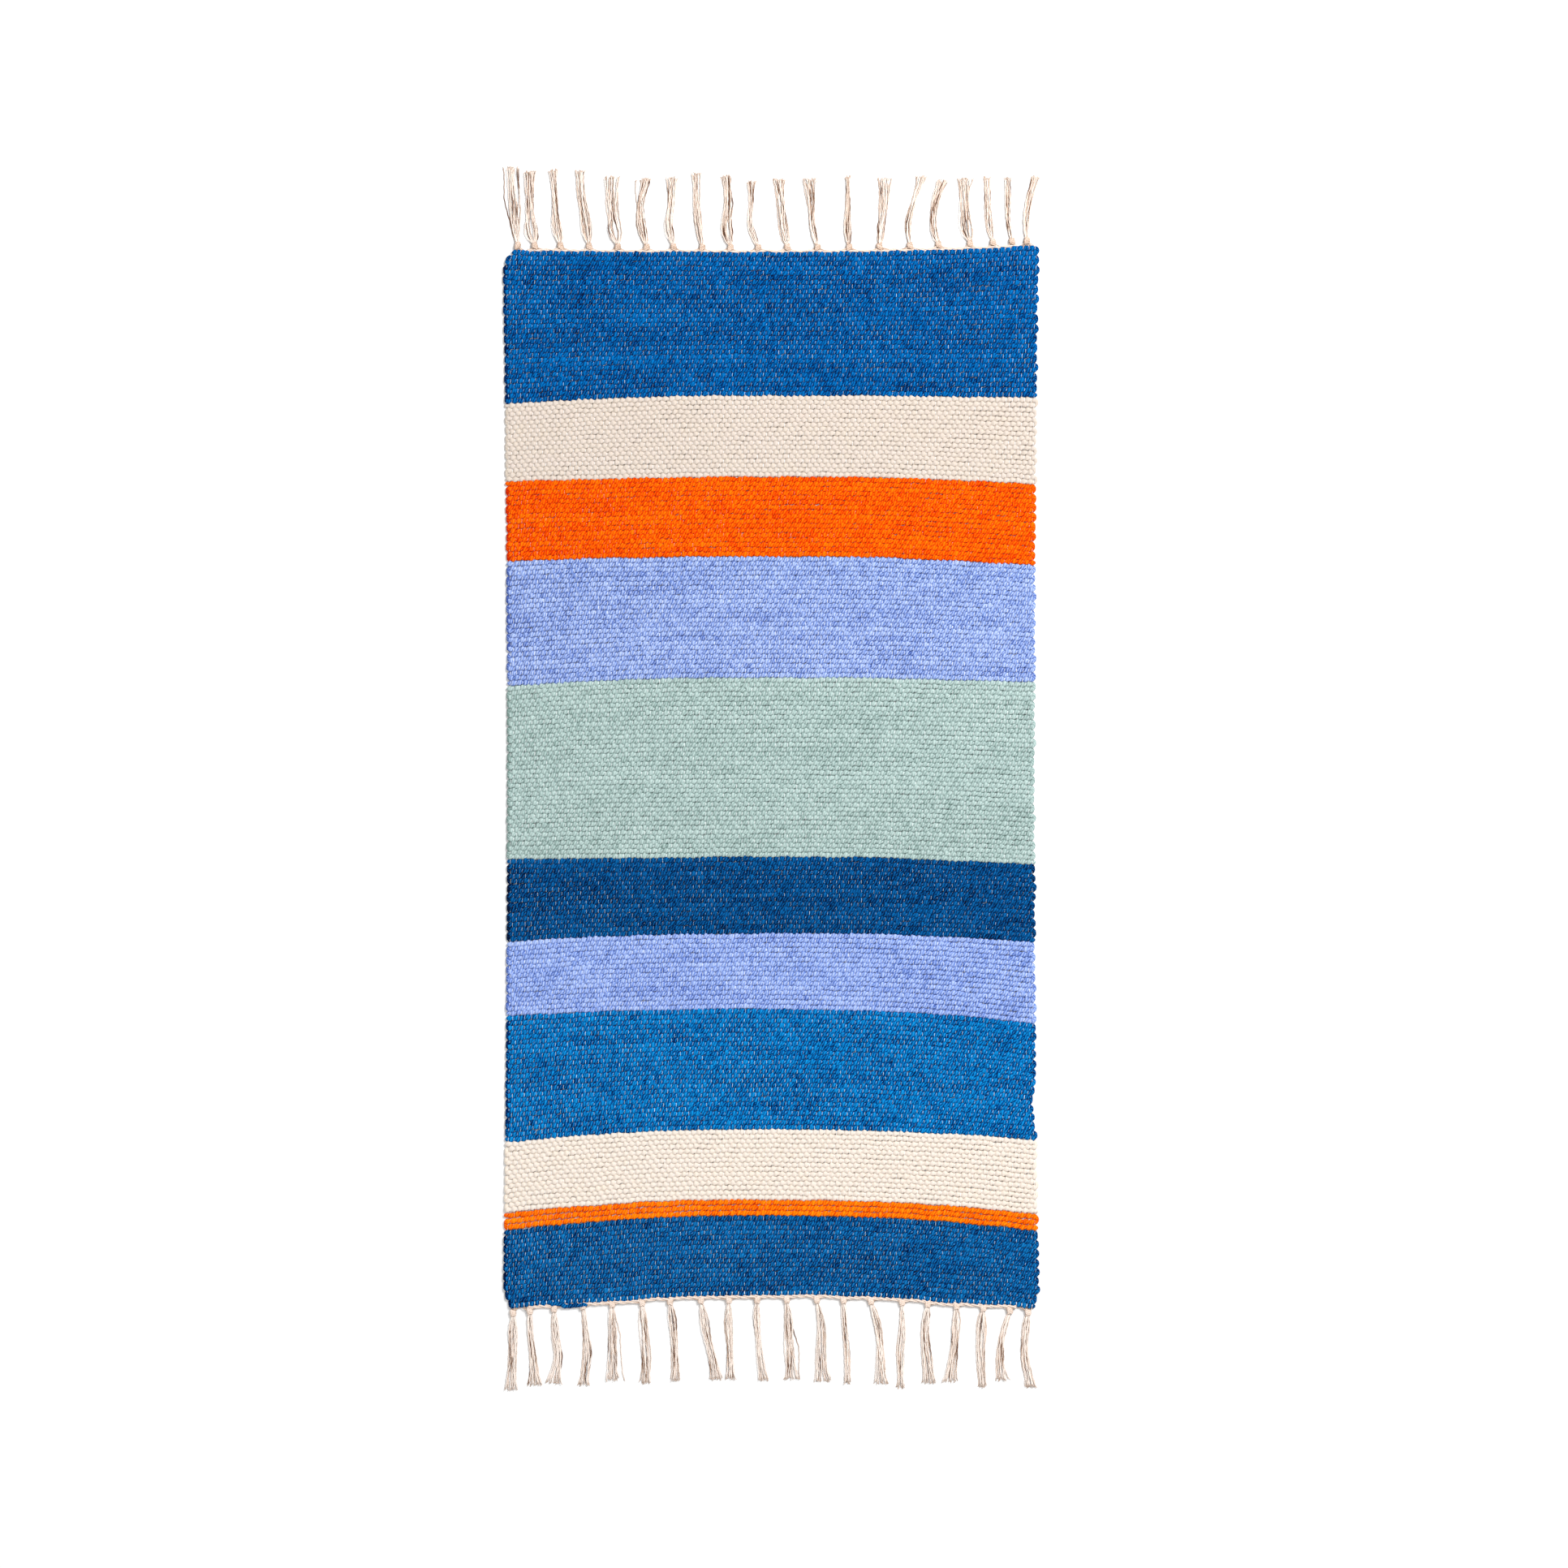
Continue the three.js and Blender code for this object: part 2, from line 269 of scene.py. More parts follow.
# ---- yarn meshes ----
def tubes(path, width, height, sides, tone, mid, deep, rim_shade=0.0, ply=0.0, strip=None, along=None):
    """Closed yarn tubes, as a dict of arrays for make_piece().

    path is [tube, station, xyz]; width and height are half the section's, across the path and
    up. tone is the yarn's tone at each station, 0 dark to 1 light. Painted shade lowers it by up
    to deep towards the level mid, where the yarn is down in the creases, and by the rim shade along
    its sides, where it lies against its neighbours. strip and along place each station in the bake
    layout, one strip for each tube unless they say otherwise.
    """
    count, stations = path.shape[:2]
    if strip is None:
        strip = np.repeat(np.arange(count)[:, None], stations, axis=1)
        along = np.tile(np.linspace(0, 1, stations), (count, 1))
    run = np.linalg.norm(np.diff(path[..., :2], axis=1), axis=2)
    run = np.concatenate([np.zeros((count, 1)), np.cumsum(run, axis=1)], axis=1)
    step = np.gradient(path, axis=1)
    step /= np.maximum(np.linalg.norm(step[..., :2], axis=2, keepdims=True), 1e-9)
    side = np.stack([step[..., 1], -step[..., 0], np.zeros(step.shape[:2])], axis=2)
    angle = np.arange(sides) * 2 * math.pi / sides - math.pi / 2
    swell = 1 + ply * np.cos(PLIES * (angle - 2 * math.pi * run[..., None] / PLY_PITCH))
    points = (
        path[:, :, None, :]
        + side[:, :, None, :] * (width[..., None] * swell * np.cos(angle))[..., None]
    )
    points[..., 2] += height[..., None] * swell * np.sin(angle)
    proud = np.clip(np.abs(points[..., 2] - mid) / (PROUD * MM), 0, 1)
    ring = np.arange(sides)
    first = (np.arange(count)[:, None] * stations + np.arange(stations - 1)) * sides
    first = first.reshape(-1, 1)
    turn = np.roll(ring, -1)
    quads = np.stack(
        [first + ring, first + turn, first + sides + turn, first + sides + ring], axis=2
    ).reshape(-1, 4)
    starts = np.arange(count)[:, None] * stations * sides
    # the shade attribute carries painted shade: crease shade towards the level mid, rim shade along the sides
    return {
        "points": points.reshape(-1, 3),
        "shade": (tone[..., None] - deep * (1 - proud) - rim_shade * np.cos(angle) ** 2).ravel(),
        "quads": quads,
        "caps": np.concatenate([starts + ring[::-1], starts + (stations - 1) * sides + ring]),
        "bake": bake_layout(strip, along, sides),
        "strips": int(strip.max()) + 1,
        "own": own_layout(run, sides),
    }


def bake_layout(strip, along, sides):
    """u along the strip, and v as the strip's number plus the share of the way round the yarn."""
    inner = np.arange(strip.size).reshape(strip.shape)[:, :-1].ravel()
    ahead = inner + 1
    row = strip.ravel()[inner]
    u0, u1 = along.ravel()[inner], along.ravel()[ahead]
    u1 = np.where(strip.ravel()[ahead] == row, u1, 1.0)
    around = 0.05 + 0.9 * np.arange(sides + 1) / sides
    return corners(u0, u1, row[:, None] + around[:-1], row[:, None] + around[1:])


def own_layout(run, sides):
    """The yarn's own length and girth in metres, for streaks that follow it."""
    around = np.tile(np.arange(sides + 1) / sides * YARN_GIRTH, (run[:, 1:].size, 1))
    return corners(run[:, :-1].ravel(), run[:, 1:].ravel(), around[:, :-1], around[:, 1:])


def corners(u0, u1, v0, v1):
    """UVs of the quads' four corners, [corner, uv], in the order of tubes()' quads."""
    u0, u1 = (np.repeat(u[:, None], v0.shape[1], axis=1) for u in (u0, u1))
    quad = [np.stack([u0, v0], 2), np.stack([u0, v1], 2), np.stack([u1, v1], 2), np.stack([u1, v0], 2)]
    return np.stack(quad, axis=2).reshape(-1, 2)


def make_piece(name, sets, material):
    """One object from several sets of tubes."""
    firsts = np.cumsum([0] + [len(part["points"]) for part in sets])[:-1]
    loops, counts, bake, own = [], [], [], []
    strips = sum(part["strips"] for part in sets)
    strip = 0
    for part, first in zip(sets, firsts, strict=True):
        quads, caps = part["quads"], part["caps"]
        loops += [(quads + first).ravel(), (caps + first).ravel()]
        counts += [np.full(len(quads), 4), np.full(len(caps), caps.shape[1])]
        flat_caps = np.zeros((caps.size, 2))
        layout = (part["bake"] + [0, strip]) / [1, strips]
        bake += [layout, flat_caps + [0, (strip + 0.5) / strips]]
        own += [part["own"], flat_caps]
        strip += part["strips"]
    points = np.concatenate([part["points"] for part in sets]).astype(np.float32)
    loops, counts = np.concatenate(loops), np.concatenate(counts)
    mesh = bpy.data.meshes.new(name)
    mesh.vertices.add(len(points))
    mesh.vertices.foreach_set("co", points.ravel())
    mesh.loops.add(len(loops))
    mesh.loops.foreach_set("vertex_index", loops.astype(np.int32))
    mesh.polygons.add(len(counts))
    mesh.polygons.foreach_set("loop_start", np.concatenate([[0], np.cumsum(counts)[:-1]]))
    mesh.polygons.foreach_set("loop_total", counts)
    mesh.polygons.foreach_set("use_smooth", np.ones(len(counts), bool))
    for layer, values in (("OFBake", bake), ("Yarn", own)):
        values = np.concatenate(values).astype(np.float32)
        mesh.uv_layers.new(name=layer).data.foreach_set("uv", values.ravel())
    shade = np.concatenate([part["shade"] for part in sets]).astype(np.float32)
    mesh.attributes.new("shade", "FLOAT", "POINT").data.foreach_set("value", shade)
    mesh.update()
    mesh.validate()
    piece = bpy.data.objects.new(name, mesh)
    bpy.context.scene.collection.objects.link(piece)
    mesh.materials.append(material)
    return piece


# ---- materials ----
def node_tree(name):
    material = bpy.data.materials.new(name)
    material.use_nodes = True
    tree = material.node_tree
    tree.nodes.clear()
    output = tree.nodes.new("ShaderNodeOutputMaterial")
    shader = tree.nodes.new("ShaderNodeBsdfPrincipled")
    tree.links.new(shader.outputs["BSDF"], output.inputs["Surface"])
    return material, tree, shader


def add_pattern(tree, tone, pattern, amount):
    """tone plus a pattern of 0 to 1, scaled by amount and centred on nothing."""
    centred = tree.nodes.new("ShaderNodeMath")
    centred.operation = "MULTIPLY_ADD"
    tree.links.new(pattern, centred.inputs[0])
    centred.inputs[1].default_value = amount
    centred.inputs[2].default_value = -0.5 * amount
    total = tree.nodes.new("ShaderNodeMath")
    total.operation = "ADD"
    tree.links.new(tone, total.inputs[0])
    tree.links.new(centred.outputs["Value"], total.inputs[1])
    return total.outputs["Value"]


def spun_tone(tree, fibre, ply_shade):
    """The yarn's own tone, streaked with fibres that follow its twist, with painted shade in the grooves between
    its plies.
    """
    new, link = tree.nodes.new, tree.links.new
    own = new("ShaderNodeUVMap")
    own.uv_map = "Yarn"
    lean = new("ShaderNodeMapping")
    lean.inputs["Rotation"].default_value = (0, 0, -TWIST_ANGLE)
    link(own.outputs["UV"], lean.inputs["Vector"])
    draw = new("ShaderNodeMapping")
    draw.inputs["Scale"].default_value = (fibre * FIBRE_LENGTH, fibre, 1)
    link(lean.outputs["Vector"], draw.inputs["Vector"])
    streak = new("ShaderNodeTexNoise")
    streak.inputs["Scale"].default_value = 1.0
    streak.inputs["Detail"].default_value = 3.0
    streak.inputs["Roughness"].default_value = 0.65
    link(draw.outputs["Vector"], streak.inputs["Vector"])
    plies = new("ShaderNodeTexWave")
    plies.bands_direction = "Y"
    plies.inputs["Scale"].default_value = WAVE_UNIT / PLY_SPACING
    plies.inputs["Distortion"].default_value = 3.0
    plies.inputs["Detail"].default_value = 1.0
    plies.inputs["Detail Scale"].default_value = 2.0
    link(lean.outputs["Vector"], plies.inputs["Vector"])
    shade = new("ShaderNodeAttribute")
    shade.attribute_name = "shade"
    tone = add_pattern(tree, shade.outputs["Fac"], streak.outputs["Fac"], STREAK)
    # painted shade in the grooves between the plies
    return add_pattern(tree, tone, plies.outputs["Fac"], ply_shade)


def yarn_material(name, crease_shade_colour, dark, light, fibre, ply_shade):
    """Spun cotton: heathered between two shades, streaked along its plies, with painted shade in its creases."""
    material, tree, shader = node_tree(name)
    new, link = tree.nodes.new, tree.links.new
    tone = spun_tone(tree, fibre, ply_shade)
    ramp = new("ShaderNodeValToRGB")
    stops = ramp.color_ramp.elements
    # the colour that painted crease shade runs down to
    stops[0].color = srgb(crease_shade_colour)
    stops[1].color = srgb(light)
    stops.new(DARK_STOP).color = srgb(dark)
    link(tone, ramp.inputs["Fac"])
    link(ramp.outputs["Color"], shader.inputs["Base Color"])
    bump = new("ShaderNodeBump")
    bump.inputs["Strength"].default_value = 0.6
    bump.inputs["Distance"].default_value = 0.3 * MM
    link(tone, bump.inputs["Height"])
    link(bump.outputs["Normal"], shader.inputs["Normal"])
    shader.inputs["Roughness"].default_value = 0.95
    shader.inputs["Specular IOR Level"].default_value = 0.03
    shader.inputs["Sheen Weight"].default_value = 0.02
    shader.inputs["Sheen Roughness"].default_value = 0.5
    return material


# ---- the weave's grid ----
seams = seam_lines()
plain_edges, cut_edges = selvedge_lines()
pick_counts = []
for far, near in seams:
    pick_counts.append(max(2, round(float(far(0) - near(0)) / PICK_PITCH)))
PICKS = sum(pick_counts)
band_starts = np.concatenate([[0], np.cumsum(pick_counts)])


def pick_line(x):
    """y of every pick at each x, [pick, x], before the cloth's small waves."""
    rows = []
    for (far, near), count in zip(seams, pick_counts, strict=True):
        share = (np.arange(count) + 0.5) / count
        rows.append(far(x)[None, :] * (1 - share[:, None]) + near(x)[None, :] * share[:, None])
    sag = SAG * sum(np.exp(-(((x - at) / SAGS_OVER) ** 2)) for at in SAGS_AT)
    last = pick_counts[-1]
    rows[-1] = rows[-1] - sag * ((np.arange(last) + 1) / last)[:, None]
    return np.concatenate(rows)


def crossings():
    """x and y of every crossing of a pick and a warp end, [pick, warp end]."""
    share = np.arange(WARP_ENDS) / (WARP_ENDS - 1)
    y = pick_line((share - 0.5) * 2 * HALF_WARP)
    for _ in range(2):
        left = plain_edges[0](y) + SELVEDGE_IN
        right = plain_edges[1](y) - SELVEDGE_IN
        right -= PULLED_IN * np.exp(-(((y - PULLED_AT) / PULLED_OVER) ** 2))
        x = left * (1 - share) + right * share
    for side, (plain, cut) in enumerate(zip(plain_edges, cut_edges, strict=True)):
        from_edge = np.abs(x - plain(y))
        x += (cut(y) - plain(y)) * np.clip(1 - from_edge / SQUEEZE, 0, 1) ** SQUEEZE_POWER
    loose = np.random.default_rng(SEED + 4).standard_normal((2, *x.shape)).clip(-2, 2)
    x += WARP_WAVE * field(SEED + 1, 0.03)(x, y) + WARP_LUCK * loose[0]
    y = y + PICK_WAVE * field(SEED + 2, 0.09)(x, y) + PICK_RIPPLE * field(SEED + 3, 0.013)(x, y)
    y += PICK_LUCK * loose[1]
    return x, y


cross_x, cross_y = crossings()
rng = np.random.default_rng(SEED)
weft_over = 1 - 2 * ((np.arange(PICKS)[:, None] + np.arange(WARP_ENDS)) % 2)
pad_size = 1 + PAD_LUCK * rng.standard_normal((PICKS, WARP_ENDS)).clip(-2, 2)
pad_tone = rng.standard_normal((PICKS, WARP_ENDS))
pick_tone = rng.standard_normal(PICKS)
show_grid = np.concatenate(
    [np.full((n, WARP_ENDS), BANDS[i][5]) for i, n in enumerate(pick_counts)]
)


def shown_share():
    """How far each warp end shows at each crossing, 0 to 1: a little nearly everywhere, unevenly."""
    drift = field(SEED + 8, 0.035)(cross_x, cross_y)
    rows = field(SEED + 9, 0.011)(cross_x * 0.12, cross_y)
    luck = rng.standard_normal((PICKS, WARP_ENDS))
    share = show_grid * (1 + SHOW_DRIFT * drift + SHOW_ROWS * rows + SHOW_LUCK * luck)
    share = share.clip(0, 1)
    share[-1] = NEAR_EDGE_SHOW
    return share


shown = shown_share()


def cloth_tone():
    """Shade of the yarn at each crossing: by pick, pad by pad, in streaks along picks, in drifts."""
    streaks = field(SEED + 5, 0.007)(cross_x * 0.1, cross_y)
    drifts = field(SEED + 6, 0.05)(cross_x * 0.6, cross_y)
    varied = PICK_TONE * pick_tone[:, None] + PAD_TONE * pad_tone
    varied = varied + STREAK_TONE * streaks + DRIFT_TONE * drifts
    return CLOTH_TONE + varied


tone_grid = cloth_tone()


# ---- weft ----
# stations along a pick, counted in warp ends: the end before each, how far past it, the nearest,
# and how far up on that one's pad or down beside it
ALONG = np.arange((WARP_ENDS - 1) * PER_CROSSING + 1) / PER_CROSSING
BEFORE = np.minimum(np.floor(ALONG).astype(int), WARP_ENDS - 2)
PAST = ALONG - BEFORE
NEAREST = np.rint(ALONG).astype(int)
CREST = np.cos(math.pi * (ALONG - NEAREST))
SWING = np.sin(math.pi * (ALONG - NEAREST))
TURN = np.arange(1, TURN_STEPS + 1) / (TURN_STEPS + 1)
TURN_EASE = (1 - np.cos(math.pi * TURN)) / 2


def between(values):
    """A pick's values at its warp ends, taken to every station along it."""
    return values[BEFORE] * (1 - PAST) + values[BEFORE + 1] * PAST


def pick_row(p):
    """Pick p from left to right: x, y, z, half width, half height and shade at every station."""
    over = weft_over[p][NEAREST]
    aside = 2 * (1 - CREST)
    dent = SHUT_DENT + (OPEN_DENT - SHUT_DENT) * shown[p][NEAREST]
    dented = dent + (SHOULDER - dent) * aside
    full = PAD_TOP * (1 - PAD_DIP * aside)
    y = between(cross_y[p]) + TWIST_LEAN * over * SWING
    z = CLOTH_MID + over * (full - dented) / 2
    widest = np.where(over > 0, OVER_WIDTH, UNDER_WIDTH)
    width = between(pad_size[p]) * (NECK_WIDTH + (widest - NECK_WIDTH) * CREST)
    height = (full + dented) / 2
    return np.stack([between(cross_x[p]), y, z, width, height, between(tone_grid[p])], 1)


def turn_loop(last, p, side):
    """The turn round a selvedge, from a pick's last station to pick p."""
    end = 0 if side < 0 else WARP_ENDS - 1
    square, bulge, slack, darker = LEFT_TURN if side < 0 else RIGHT_TURN
    reach = side * (SELVEDGE_IN - TURN_WIDTH + slack * rng.uniform(-1, 1))
    loop = np.tile(last, (TURN_STEPS, 1))
    loop[:, 0] += (cross_x[p, end] - last[0]) * TURN + reach * np.sin(math.pi * TURN) ** square
    loop[:, 1] += (cross_y[p, end] - last[1]) * TURN_EASE + bulge * np.sin(2 * math.pi * TURN)
    loop[:, 2] = last[2] + (2 * CLOTH_MID - 2 * last[2]) * TURN_EASE
    loop[:, 3] = TURN_WIDTH
    loop[:, 4] = TURN_HEIGHT
    # painted shade on the turn, heaviest along the left selvedge, away from the key light
    loop[:, 5] -= darker
    return loop


def weft_path(start, count):
    """One band's weft as a single yarn: across, round the selvedge and back, pick after pick."""
    stations = []
    for k in range(count):
        row = pick_row(start + k)
        if k % 2:
            row = row[::-1]
        if k + 1 < count:
            row = np.concatenate([row, turn_loop(row[-1], start + k + 1, -1 if k % 2 else 1)])
        along = np.linspace(0.004, 0.996, len(row))
        stations.append(np.column_stack([row, np.full(len(row), k), along]))
    whole = np.concatenate(stations)
    return np.concatenate([tail(whole[0]), whole, tail(whole[-1])[::-1]])[None]


def tail(station):
    """The two stations with which a yarn's end comes out to the selvedge, from its last one."""
    ends = np.tile(station, (2, 1))
    ends[:, 0] += math.copysign(1, station[0]) * (SELVEDGE_IN - TURN_WIDTH * np.array([0.1, 0.8]))
    ends[:, 2] = CLOTH_MID
    ends[:, 3:5] = [[0.5 * TURN_WIDTH, 0.5 * TURN_HEIGHT], [TURN_WIDTH, TURN_HEIGHT]]
    return ends


def stray_end():
    """The end of the last pick, which comes out of the cloth and lies along its near edge."""
    share = np.linspace(0, 1, STRAY_STEPS)
    x = STRAY_END[0] + (STRAY_END[1] - STRAY_END[0]) * share
    out = STRAY_OUT * np.clip(share / 0.4, 0.4, 1)
    y = np.interp(x, cross_x[-1], cross_y[-1]) - out
    swell = np.clip(np.minimum(share, 1 - share) / 0.06, 0.05, 1) ** 0.5
    swell *= 0.9 + 0.1 * np.cos(2 * math.pi * x / (8 * MM))
    path = np.stack([x, y, np.full(len(x), STRAY_MID)], axis=1)[None]
    width, height = (STRAY_WIDTH * swell)[None], (STRAY_HEIGHT * swell)[None]
    tone = 0.55 + 0.25 * field(SEED + 7, 0.004)(x, y)[None]
    # painted shade: crease shade, and rim shade along the stray end's sides
    return tubes(
        path, width, height, WEFT_SIDES, tone, CLOTH_MID, CREASE_SHADE, STRAY_RIM_SHADE, PLY_DEPTH
    )


def make_weft(i):
    node, slot, crease_shade_colour, dark, light, _ = BANDS[i]
    way = weft_path(int(band_starts[i]), pick_counts[i])
    # painted crease shade darkens the weft towards the cloth's middle level
    yarn = tubes(
        way[..., :3], way[..., 3], way[..., 4], WEFT_SIDES, way[..., 5], CLOTH_MID, CREASE_SHADE,
        ply=PLY_DEPTH, strip=way[..., 6].astype(int), along=way[..., 7],
    )
    yarns = [yarn, stray_end()] if i == len(BANDS) - 1 else [yarn]
    material = yarn_material(node, crease_shade_colour, dark, light, WEFT_FIBRE, WEFT_PLY_SHADE)
    piece = make_piece(node + "_weft", yarns, material)
    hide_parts(node)
    return piece


wefts = [make_weft(i) for i in range(len(BANDS))]


# ---- warp ----
def warp_paths(first, last):
    """Warp ends as paths [end, station, xyz] over picks first to last, two stations at each."""
    rise = -weft_over * WARP_LIFT * (LIFT_BURIED + (1 - LIFT_BURIED) * shown)
    x, y, z = (np.repeat(a[first:last], 2, axis=0) for a in (cross_x, cross_y, CLOTH_MID + rise))
    y[0::2] += TICK_HALF
    y[1::2] -= TICK_HALF
    return np.stack([x, y, z], axis=2).transpose(1, 0, 2)


# the first colour is the one that painted crease shade runs down to
cotton = yarn_material("cotton_warp", "868c94", "cdd1d4", "ffffff", WARP_FIBRE, CORD_PLY_SHADE)
fold = joint("rug_fold")
FOLD_Y = fold["pos_m"][1]


def make_warp(name, first, last, ends):
    paths = warp_paths(first, last)[ends]
    seen = np.repeat(shown[first:last], 2, axis=0).T[ends]
    radius = WARP_RADIUS * (WARP_BURIED + (1 - WARP_BURIED) * seen)
    # painted shade: warp that the weft hides is darker, warp that shows is lighter
    tone = HIDDEN_WARP_SHADE + (1 - HIDDEN_WARP_SHADE) * seen
    tone = tone + PAD_TONE * np.repeat(pad_tone[first:last], 2, axis=0).T[ends]
    # painted crease shade towards the cloth's middle level
    yarn = tubes(paths, radius, radius, WARP_SIDES, tone, CLOTH_MID, 0.1)
    return make_piece(name, [yarn], cotton)


fold_pick = int(np.searchsorted(-cross_y[:, WARP_ENDS // 2], -FOLD_Y))
warps = []
groups = np.array_split(np.arange(WARP_ENDS), 2)
for side, ends in zip(("left", "right"), groups, strict=True):
    warps.append(make_warp(f"far_warp_{side}", 0, fold_pick + 1, ends))
    warps.append(make_warp(f"near_warp_{side}", fold_pick, PICKS, ends))


# ---- fringes ----
def knots_of(node):
    """Centres (x, y) of the knots in a knot row, left to right: its only vertices that tall."""
    mesh = frame["nodes"][node].data
    tall = sorted((v.co.x, v.co.y) for v in mesh.vertices if v.co.z > KNOT_TALL)
    groups = [[tall[0]]]
    for point in tall[1:]:
        if point[0] - groups[-1][-1][0] > KNOT_APART:
            groups.append([])
        groups[-1].append(point)
    return [np.mean(g, axis=0) for g in groups]


def tassel_lay(node, knot):
    """(y, middle x, width) along a tassel, from its knot to its tip."""
    mesh = frame["nodes"][node].data
    points = np.array(sorted({(round(v.co.y, 5), round(v.co.x, 6)) for v in mesh.vertices}))
    out = 1 if knot[1] > 0 else -1
    rows = sorted({y for y, _ in points}, key=lambda y: out * y)
    lay = [(knot[1], knot[0], TASSEL_NECK)]
    for y in rows:
        xs = points[points[:, 0] == y][:, 1]
        lay.append((y, (xs.min() + xs.max()) / 2, xs.max() - xs.min()))
    return np.array(lay)


def smooth_along(lay, share):
    """The lay at each share of the way from knot to tip, with its kinks smoothed."""
    y = lay[0, 0] + (lay[-1, 0] - lay[0, 0]) * share
    sign = 1 if lay[-1, 0] > lay[0, 0] else -1
    soft = []
    for column in (1, 2):
        values = sum(
            np.interp(sign * (y + d * MM), sign * lay[:, 0], lay[:, column]) for d in SMOOTHING
        )
        soft.append(values / len(SMOOTHING))
    return y, soft[0], soft[1]


# the strands' tone at each end; the near end's is raised, painted light that makes up for the key light falling
# off there
FRINGE_TONE_AND_LIGHT = {"far": 1.05, "near": 1.25}
KNOT_TONE = {"far": 0.55, "near": 0.8}
LAYER_SHADE = 0.15  # how much painted shade darkens a layer of strands against the one on top of it
SHADED, SHADED_SHARE = 1.1, 0.38  # stretches of some strands that lie deep in the tassel's shade
# a tassel's spread where it leaves the knot, as a share of its full width
NECK_SPREAD = {"far": 0.15, "near": 0.5}
# tassels with an opening near the knot, and how wide it gapes, 0 to 1
GAPES = {"far": {2: 0.8, 3: 0.5, 4: 0.7, 5: 0.9, 9: 0.8, 18: 0.5}, "near": {1: 0.4, 18: 0.9}}
# loose strands: how far each stands off its tassel at the tip, and where along it they part
STRAYS = {
    "far": {1: [(-6, 0.3), (6, 0.15), (3, 0.3)], 6: [(-8, 0.6)], 9: [(-5, 0.8)]},
    "near": {5: [(7, 0.1)], 11: [(5, 0.3)]},
}
# how far along its tassel each station of a strand is, 0 at the knot to 1
STRAND_SHARE = np.linspace(0.02, 1, STRAND_STEPS) ** 1.1


def strand_slots(count, strays, own):
    """Where each strand lies across its tassel, -0.5 to 0.5, with the loose ones on their own side."""
    slots = np.linspace(-0.5, 0.5, count) + own.uniform(-0.6, 0.6, count) / count
    own.shuffle(slots)
    for i, (off, _) in enumerate(strays):
        slots[i] = math.copysign(0.5, off)
    return slots


def strand_paths(lay, slots, neck, gape, strays, own):
    """A tassel's strands from its knot to its tips, [strand, station, xyz], in layers on the floor."""
    share = STRAND_SHARE
    y, middle, width = smooth_along(lay, share)
    spread = neck + (1 - neck) * np.sin(np.minimum(share / NECK_LENGTH, 1) * math.pi / 2)
    settle = np.exp(-share / SETTLE_LENGTH)
    opening = np.exp(-(((share - GAPE_AT) / GAPE_OVER) ** 2)) * gape * GAPE_WIDTH
    flare = 1 + FLARE * np.clip((share - (1 - FLARE_OVER)) / FLARE_OVER, 0, 1)
    paths = np.zeros((len(slots), STRAND_STEPS, 3))
    for i, place in enumerate(slots):
        slot = 0.84 * place + own.uniform(0.04, 0.16) * np.sin(
            2 * math.pi * (own.uniform(0.4, 1.6) * share + own.uniform())
        )
        slot += np.sign(place) * (0.32 - 0.5 * abs(place)) * opening
        reach = 1 - own.uniform(0, 0.04)
        crimps = y / (CRIMP_LENGTH * own.uniform(0.8, 1.3)) + own.uniform()
        waver = CRIMP * np.sin(2 * math.pi * crimps)
        sag = 0.75 + 0.25 * np.cos(2 * math.pi * share * own.uniform(0.4, 1))
        lift = 1.15 * STRAND_RADIUS + (i % LAYERS) * LAYER_RISE * sag
        start = CLOTH_MID + own.uniform(-1.2, 1.2) * MM
        paths[i, :, 0] = middle + slot * (width * flare - 0.6 * MM) * spread + waver * spread
        paths[i, :, 1] = lay[0, 0] + (y - lay[0, 0]) * reach
        paths[i, :, 2] = lift * (1 - settle) + start * settle
    for path, (off, parts) in zip(paths, strays):
        path[:, 0] += off * MM * np.clip((share - parts) / STRAY_PARTING, 0, 1) ** 1.3
    return paths


def strand_tones(end, count, own):
    """Tone of a tassel's strands, [strand, station], with painted shade on its lower layers and deep stretches."""
    tone = FRINGE_TONE_AND_LIGHT[end] + own.uniform(-0.2, 0.2, (count, 1)) * np.ones(STRAND_STEPS)
    tone -= LAYER_SHADE * (LAYERS - 1 - np.arange(count) % LAYERS)[:, None]
    middle = own.uniform(0.1, 0.95, (count, 1))
    depth = SHADED * (own.uniform(0, 1, (count, 1)) < SHADED_SHARE)
    length = own.uniform(0.08, 0.2, (count, 1))
    return tone - depth * np.exp(-(((STRAND_SHARE - middle) / length) ** 2))


def fray(path, own):
    """Fine fibres that splay from the cut end of every strand."""
    each = len(FRAY_FIBRES)
    tips = np.repeat(path[:, -1], each, axis=0)
    aim = np.repeat(path[:, -1] - path[:, -2], each, axis=0)
    aim /= np.linalg.norm(aim, axis=1, keepdims=True)
    sideways, upward = own.uniform(-0.4, 0.4, len(tips)), own.uniform(-0.1, 0.25, len(tips))
    splay = np.column_stack([sideways, np.zeros(len(tips)), upward])
    share = np.linspace(0, 1, FRAY_STEPS)[None, :, None]
    length = FRAY_LENGTH * own.uniform(0.4, 1, (len(tips), 1, 1))
    start = tips - aim * 1.5 * MM
    start[:, 0] += np.tile(FRAY_FIBRES, len(path)) * MM
    way = start[:, None] + length * (share * aim[:, None] + share**1.5 * splay[:, None])
    way[..., 2] = np.maximum(way[..., 2], FRAY_RADIUS)
    radius = np.full(way.shape[:2], FRAY_RADIUS)
    # painted shade darkens the frayed fibres towards the floor
    return tubes(way, radius, radius, FRAY_SIDES, np.full(way.shape[:2], 0.6), 0.0, 0.3)


